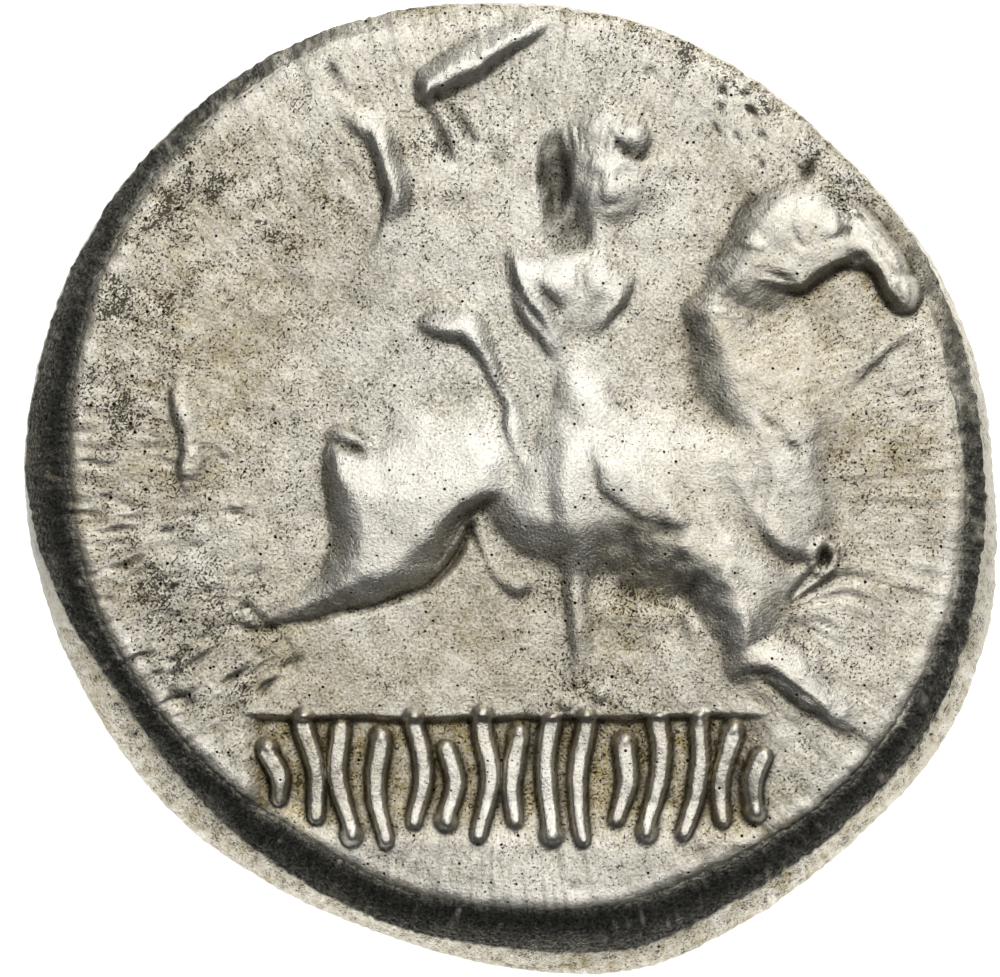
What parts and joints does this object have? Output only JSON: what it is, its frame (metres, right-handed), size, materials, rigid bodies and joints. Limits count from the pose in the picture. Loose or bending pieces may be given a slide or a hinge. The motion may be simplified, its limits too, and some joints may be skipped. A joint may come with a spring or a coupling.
{
  "type": "hexadrachm coin",
  "caption": "Thick hand-struck silver coin on an uneven flan: a rider on horseback in low relief over a sunk panel of raised strokes, plain worn back.",
  "frame": {"origin": "on the ground under the middle of the coin's outline, the coin lying on its worn back", "axes": "+Z out of the shown side, upwards; +Y to the top of the design; +X to the right of the design, the way the horse walks"},
  "size_m": [0.0252, 0.0252, 0.0042],
  "materials": {
    "silver": "struck silver, worn and toned"
  },
  "bodies": {
    "root": {"coin": "silver"}
  },
  "joints": []
}
